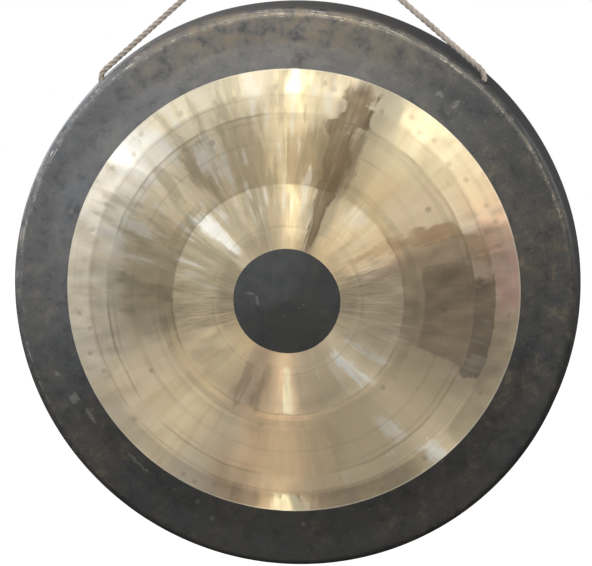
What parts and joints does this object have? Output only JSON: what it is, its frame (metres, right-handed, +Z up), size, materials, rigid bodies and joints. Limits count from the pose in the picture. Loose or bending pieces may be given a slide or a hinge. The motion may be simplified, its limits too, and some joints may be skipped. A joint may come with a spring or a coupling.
{
  "type": "tam tam gong",
  "caption": "Large round bronze tam-tam with a domed face, turned-back rim and a rope through two rim holes, hung by a knotted eye.",
  "frame": {"origin": "inside top of the rope's hanging eye, where a stand's hook bears", "axes": "+Z up, the struck face looks along -Y and 2.18 degrees down, the rim is turned back towards +Y, +X to the right of someone facing the gong"},
  "size_m": [0.8, 0.1115, 0.9916],
  "materials": {
    "bronze": "pale golden bronze scraped on a lathe between a dark oxide outer zone and a dark centre patch, satin",
    "rope": "off-white three-strand laid cord, matt and a little soiled"
  },
  "bodies": {
    "hanger": {"hanging_eye": "rope", "eye_knot": "rope"},
    "rope_legs": {"rope_leg_left": "rope", "rope_leg_right": "rope"},
    "gong": {"gong_plate": "bronze", "stopper_knot_left": "rope", "stopper_knot_right": "rope"}
  },
  "joints": [
    {"name": "rope_swing", "type": "hinge", "parent": "hanger", "child": "rope_legs", "pos_m": [0, 0, -0.068], "axis": [1, 0, 0], "range_deg": [-30, 30]},
    {"name": "gong_rock", "type": "hinge", "parent": "rope_legs", "child": "gong", "pos_m": [0, 0, -0.297], "axis": [1, 0, 0], "range_deg": [-15, 15]}
  ]
}
